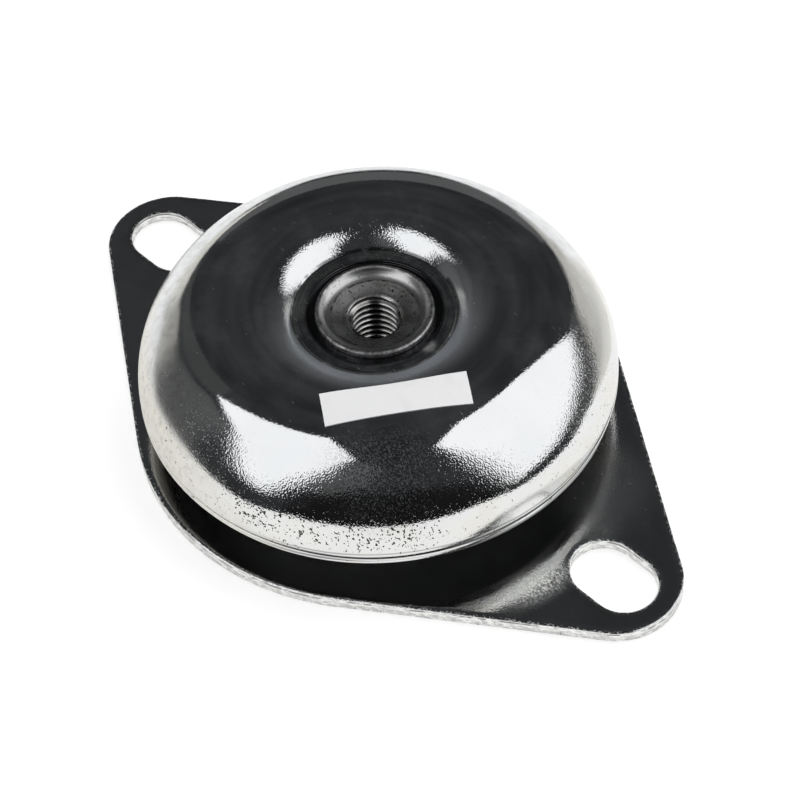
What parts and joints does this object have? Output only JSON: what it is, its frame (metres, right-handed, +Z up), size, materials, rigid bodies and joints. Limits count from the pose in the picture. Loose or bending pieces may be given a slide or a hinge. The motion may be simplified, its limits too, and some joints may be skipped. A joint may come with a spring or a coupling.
{
  "type": "dome anti-vibration mount",
  "caption": "Dome-type rubber anti-vibration mount: a steel dome with a threaded insert, bonded by hidden rubber to a rhombus base plate with slotted holes.",
  "frame": {"origin": "on the base plate's underside, directly below the dome's centre", "axes": "+Z up along the threaded insert's axis, X along the line through the two slots, Y across"},
  "size_m": [0.1706, 0.1104, 0.0375],
  "materials": {
    "zinc_plate": "bright zinc plating on pressed steel sheet, with sheared edges",
    "zinc_dome": "bright zinc plating on pressed steel, fine grain, small pits and scratches",
    "turned_steel": "turned steel with fine tool rings",
    "rubber": "matt black moulded rubber",
    "label_paper": "blank white paper label, slightly rubbed"
  },
  "bodies": {
    "base": {"base_plate": "zinc_plate", "rubber_element": "rubber"},
    "dome": {"dome_cover": "zinc_dome", "threaded_insert": "turned_steel", "rebound_washer": "zinc_plate", "rebound_buffer": "rubber", "label": "label_paper"}
  },
  "joints": [
    {"name": "rubber_travel", "type": "slide", "parent": "base", "child": "dome", "axis": [0, 0, 1], "range_m": [-0.004, 0.001], "stiffness_N_per_m": 200000, "deforming": ["rubber_element"]}
  ]
}
